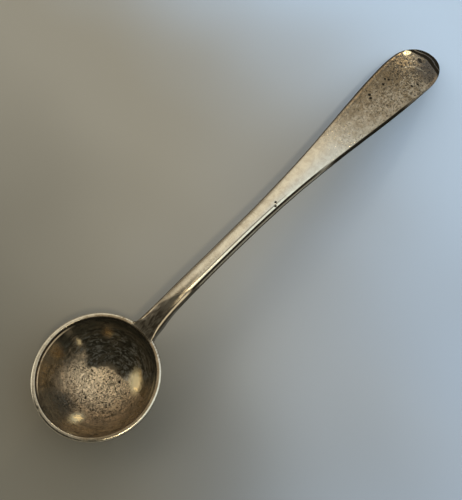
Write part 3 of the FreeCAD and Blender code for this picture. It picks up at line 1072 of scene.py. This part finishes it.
def silver_colour(w, n, bowl, handle, pits, look):
    """Rubbed metal, and the films, marks, painted highlights and painted shade laid over it one by one: how
    much each covers, and its colour."""
    # Black: pits and wisps, and painted shade: the line under the rim, the handle's dark lines and side, the
    # root's wedge, the lamp image
    dark = w.most(pits, bowl.wisps, bowl.rim_shade_line, handle.lines, w.times(bowl.lamp_image_shade, 0.4),
                  w.times(handle.root_shadow, 0.85), w.times(handle.side_line, 0.9),
                  w.times(handle.left_outline, 0.85))
    haze = n.where(bowl.old_film_and_shade, 0.9, strands=(0.48, 0.64), radius=(9.5, 7.0))
    coats = (
        (film_share(w, n, bowl, handle), look.dull),
        (stain_share(w, n, bowl, handle), look.brown),
        (bowl.pitted, ground_colour(w, n, bowl, look)),
        # Old film, and painted shade on the bowl's upper side
        (bowl.old_film_and_shade, look.olive),
        (w.times(bowl.streak, 0.55), look.dull),
        (n.where(bowl.gritty, 0.55, grainy=(0.50, 0.60)), look.gold),
        (haze, look.haze),
        (w.times(handle.tip, w.fade(n.mottle, 0.34, 0.56, 0.65, 0.95)), look.umber),
        (w.times(handle.golden, w.fade(n.mottle, 0.56, 0.40, 0.1, 0.5)), look.rubbed),
        (w.times(handle.arc, 0.4), look.rubbed),
        (w.times(handle.copper_edge, 0.4), look.gold),
        # Painted highlights: the bowl's glint patches and the spot on the handle's end
        (w.most(bowl.polished, handle.highlight_spot), look.bright),
        (handle.copper_line, look.gold),
        # Painted shade on the bowl's outside below the rim
        (w.times(bowl.outer_wall, w.fade(n.blotchy, 0.3, 0.6, 1.0, 0.8)), look.umber),
        (dark, look.black),
        # Painted highlights: the pale line under the rim and the pale ridge at the stem's root
        (w.most(bowl.inner_highlight_line, handle.root_ridge_highlight), look.sand),
    )
    colour = look.rubbed
    for cover, coat in coats:
        colour = w.blend(cover, colour, coat)
    return colour


def silver_material(look, form):
    """Tarnished silver: bare metal, a brown film, stains, and pits eaten by salt, with painted highlights
    and painted shade laid on. The films roughen the metal and hide its shine, and black crusted pits and the
    painted shade lose even the gloss."""
    material = bpy.data.materials.new("tarnished_silver")
    material.use_nodes = True
    w = Wiring(material.node_tree)
    n = SilverNodes(w, form)
    bowl, handle = BowlMarks(w, n), HandleMarks(w, n)
    pits = pit_share(w, n, bowl, handle)
    # Matt: crusted pits, and the painted shade
    crust_and_shade = w.most(w.times(pits, 0.9), bowl.lamp_image_shade, bowl.outer_wall, handle.lines,
                   w.times(handle.root_shadow, 0.7), handle.side_line, handle.left_outline)
    coarse = w.less(w.times(n.inside, 0.97, w.less(bowl.pitted)))
    roughness = w.plus(
        look.roughness, w.times(n.inside, -0.06), w.times(bowl.pitted, 0.42),
        w.times(bowl.polished, 0.05), w.times(bowl.outer_wall, 0.5), w.times(bowl.lamp_image_shade, 0.6),
        w.times(handle.end, w.fade(handle.highlight_spot, 0.0, 1.0, 0.16, 0.08)),
        w.times(coarse, w.fade(n.blotchy, 0.4, 0.7, 0.0, 0.08)))
    covered = w.most(
        w.times(bowl.pitted, 0.5), w.times(bowl.polished, 0.55), w.times(bowl.right_highlight, 0.85),
        w.times(bowl.old_film_and_shade, 0.85), w.times(bowl.inner_highlight_line, 0.8), w.times(handle.root_ridge_highlight, 0.8),
        w.times(handle.tip, 0.3), crust_and_shade)
    matt = w.most(crust_and_shade, w.times(bowl.old_film_and_shade, 0.8))
    relief = w.plus(w.times(pits, -1.0), w.times(n.streaky, 0.08), w.times(n.blotchy, 0.4))
    relief = w.times(relief, coarse, w.less(handle.highlight_spot))
    bump = w.node("ShaderNodeBump", {"Height": relief, "Strength": 0.8, "Distance": look.pit_depth})
    shader = w.node("ShaderNodeBsdfPrincipled", {
        "Base Color": silver_colour(w, n, bowl, handle, pits, look),
        "Metallic": w.less(covered), "Roughness": roughness,
        "Specular IOR Level": w.fade(matt, 0.0, 1.0, 0.5, 0.0), "Normal": bump.outputs["Normal"]})
    w.node("ShaderNodeOutputMaterial", {"Surface": shader.outputs[0]})
    return material


class SALTSPOON_OT_spoon(bpy.types.Operator):
    """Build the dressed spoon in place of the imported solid"""

    bl_idname = "saltspoon.spoon"
    bl_label = "Spoon"

    def execute(self, context):
        form = SpoonForm(context.scene.spoon_sizes)
        skin = SpoonSkin(form)
        skin.add_handle(*skin.add_bowl())
        mesh = skin.mesh("spoon")
        close_seams(mesh)
        mesh.shade_smooth()
        wear(mesh, form)
        mesh.validate()
        mesh.materials.append(silver_material(context.scene.silver_look, form))
        spoon = bpy.data.objects.new("spoon", mesh)
        context.scene.collection.objects.link(spoon)
        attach(spoon, "root")
        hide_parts("salt_spoon")
        return {"FINISHED"}


# Where the light differs from the walls: its colour, its direction, and the angles from that
# direction, in degrees, at which it is full and at which it has faded
SKY = (
    ("ceiling", (0.35, 0.0, 0.94), 28, 62),
    ("daylight", (0.80, -0.40, 0.45), 25, 58),
    ("window", (0.35, -0.60, 0.72), 15, 27),
    ("dim_wall", (0.30, 0.93, 0.15), 18, 34),
    ("far_window", (-0.45, 0.68, 0.58), 11, 18),
    ("shade", (-0.45, -0.05, 0.89), 28, 40),
    ("shade", (-0.86, -0.12, 0.50), 38, 48),
    ("shade", (-0.30, -0.68, 0.67), 20, 28),
    ("shade", (0.35, -0.90, 0.30), 12, 20),
    ("shade", (-0.15, -0.94, 0.30), 12, 20),
)
# The heights, as sines, at which the pale walls near the horizon have faded and are full
HORIZON = (0.34, 0.20)
# The two lamps: name, and the direction from which each shines
LAMPS = (("overhead_lamp", (-0.012, -0.335, 0.942)), ("low_lamp", (0.93, 0.30, 0.216)))
# Where each colour of the floor starts and where it has taken over, in metres: along the spoon for
# the corner and the bright one, and to the right in the photo for the far one, which follows this
# slant. Clouds of this scale move these places about by this much.
CORNER_FADE = (-0.003, -0.045)
FAR_FADE = (-0.036, 0.115)
BRIGHT_FADE = (0.005, 0.061)
FAR_SLANT = 0.71
CLOUD_SCALE = 22.0
CLOUD_SHIFT = 0.006
# The camera's sensor in millimetres, and how near and how far it sees in metres
SENSOR_WIDTH = 36.0
CLIP = (0.005, 10.0)


def floor_material(look):
    """Matt floor: warm grey on the bowl's side, darker beyond the bowl as painted shade, cooler and paler to
    the right as painted daylight, with faint clouds.
    """
    material = bpy.data.materials.new("matt_floor")
    material.use_nodes = True
    w = Wiring(material.node_tree)
    place = w.node("ShaderNodeTexCoord", {}).outputs["Object"]
    clouds = w.fade(w.noise(place, CLOUD_SCALE, detail=1.0), 0.3, 0.7, -CLOUD_SHIFT, CLOUD_SHIFT)
    x, y, _ = w.split(place)
    along = w.plus(x, clouds)
    rightwards = w.plus(w.maths("SUBTRACT", w.times(x, FAR_SLANT), y), clouds)
    # Painted shade beyond the bowl, then painted daylight to the right and beyond the end
    colour = w.blend(w.fade(along, *CORNER_FADE), look.floor_near, look.floor_shade_corner)
    colour = w.blend(w.fade(rightwards, *FAR_FADE), colour, look.floor_daylight_right)
    colour = w.blend(w.fade(along, *BRIGHT_FADE), colour, look.floor_daylight_pool)
    shader = w.node("ShaderNodeBsdfPrincipled", {"Base Color": colour, "Roughness": 0.8})
    w.node("ShaderNodeOutputMaterial", {"Surface": shader.outputs[0]})
    return material


def add_floor(scene, look):
    """A square floor at the height the spoon rests on."""
    half = look.floor_size / 2
    mesh = bpy.data.meshes.new("floor")
    corners = [(-half, -half, 0), (half, -half, 0), (half, half, 0), (-half, half, 0)]
    mesh.from_pydata(corners, [], [(0, 1, 2, 3)])
    mesh.materials.append(floor_material(look))
    floor = bpy.data.objects.new("floor", mesh)
    scene.collection.objects.link(floor)


def add_world(scene, look):
    """Soft light from all round, with a pale ceiling, two windows, unlit sides and a pale horizon."""
    world = bpy.data.worlds.new("soft_light")
    world.use_nodes = True
    scene.world = world
    w = Wiring(world.node_tree)
    direction = w.node("ShaderNodeTexCoord", {}).outputs["Generated"]
    colour = look.walls
    for setting, side, full, faded in SKY:
        facing = w.measure("DOT_PRODUCT", direction, Vector(side).normalized())
        near = w.fade(facing, math.cos(math.radians(faded)), math.cos(math.radians(full)))
        colour = w.blend(near, colour, getattr(look, setting))
    height = w.split(direction)[2]
    colour = w.blend(w.fade(height, *HORIZON), colour, look.walls)
    light = w.node("ShaderNodeBackground", {"Color": colour, "Strength": 1.0})
    w.node("ShaderNodeOutputWorld", {"Surface": light.outputs[0]})


def add_lamps(scene, look):
    """Far lamps that are seen as small discs."""
    for name, side in LAMPS:
        data = bpy.data.lights.new(name, "SUN")
        data.angle = look.lamp_width
        data.energy = look.lamp_strength
        data.color = look.lamp_colour
        lamp = bpy.data.objects.new(name, data)
        lamp.rotation_euler = Vector(side).to_track_quat("Z", "Y").to_euler()
        scene.collection.objects.link(lamp)


def add_camera(scene, look):
    """The camera, at the photo's angle."""
    data = bpy.data.cameras.new("camera")
    data.sensor_width = SENSOR_WIDTH
    data.lens = look.camera_lens
    data.clip_start, data.clip_end = CLIP
    camera = bpy.data.objects.new("camera", data)
    camera.location = look.camera_place
    camera.rotation_euler = Euler(look.camera_turn, "XYZ")
    scene.collection.objects.link(camera)
    scene.camera = camera


class SALTSPOON_OT_stage(bpy.types.Operator):
    """Set up the floor, the light and the camera"""

    bl_idname = "saltspoon.stage"
    bl_label = "Stage"

    def execute(self, context):
        scene = context.scene
        look = scene.stage_look
        add_floor(scene, look)
        add_world(scene, look)
        add_lamps(scene, look)
        add_camera(scene, look)
        scene.view_settings.view_transform = "Standard"
        return {"FINISHED"}


class SALTSPOON_PT_panel(bpy.types.Panel):
    """Sizes, colours and the steps that build the scene"""

    bl_idname = "SALTSPOON_PT_panel"
    bl_label = "Salt spoon"
    bl_space_type = "VIEW_3D"
    bl_region_type = "UI"
    bl_category = "Salt spoon"

    def draw(self, context):
        for operator in OPERATORS:
            self.layout.operator(operator.bl_idname)
        for group in (context.scene.spoon_sizes, context.scene.silver_look, context.scene.stage_look):
            box = self.layout.box()
            for name in group.__annotations__:
                box.prop(group, name)


GROUPS = {"spoon_sizes": SpoonSizes, "silver_look": SilverLook, "stage_look": StageLook}
OPERATORS = (SALTSPOON_OT_spoon, SALTSPOON_OT_stage)


def register():
    """Makes the settings, the steps and the panel known to Blender."""
    for name, group in GROUPS.items():
        bpy.utils.register_class(group)
        setattr(bpy.types.Scene, name, PointerProperty(type=group))
    for operator in OPERATORS:
        bpy.utils.register_class(operator)
    bpy.utils.register_class(SALTSPOON_PT_panel)


def unregister():
    """Takes them away again, in the opposite order."""
    bpy.utils.unregister_class(SALTSPOON_PT_panel)
    for operator in reversed(OPERATORS):
        bpy.utils.unregister_class(operator)
    for name, group in reversed(GROUPS.items()):
        delattr(bpy.types.Scene, name)
        bpy.utils.unregister_class(group)


def main():
    """Builds the scene."""
    register()
    bpy.ops.saltspoon.spoon()
    bpy.ops.saltspoon.stage()


if __name__ == "__main__":
    main()
